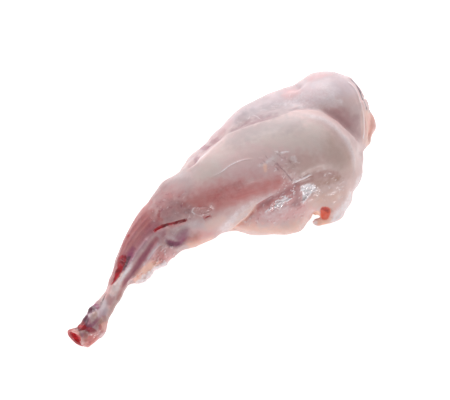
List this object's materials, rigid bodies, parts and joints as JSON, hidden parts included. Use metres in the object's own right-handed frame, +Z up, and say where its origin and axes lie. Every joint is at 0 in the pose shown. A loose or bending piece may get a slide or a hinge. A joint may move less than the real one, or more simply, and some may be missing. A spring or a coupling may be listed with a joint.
{
  "type": "raw rabbit leg",
  "caption": "Raw skinned rabbit hind leg lying on its side: a plump thigh and haunch that taper through the shank to a sawn hock with bare bone, a cut of meat for cooking.",
  "frame": {"origin": "under the middle of the leg's box, on the table", "axes": "+X from the hock to the haunch, along the leg, +Z up from the table"},
  "size_m": [0.199, 0.0758, 0.0424],
  "materials": {
    "flesh": "wet, pale pink muscle under thin silvery membrane",
    "bone": "damp cream bone, pink at the sawn edge",
    "marrow": "wet red marrow"
  },
  "bodies": {
    "root": {"leg_meat": "flesh", "shank_bone": "bone", "bone_marrow": "marrow"}
  },
  "joints": []
}
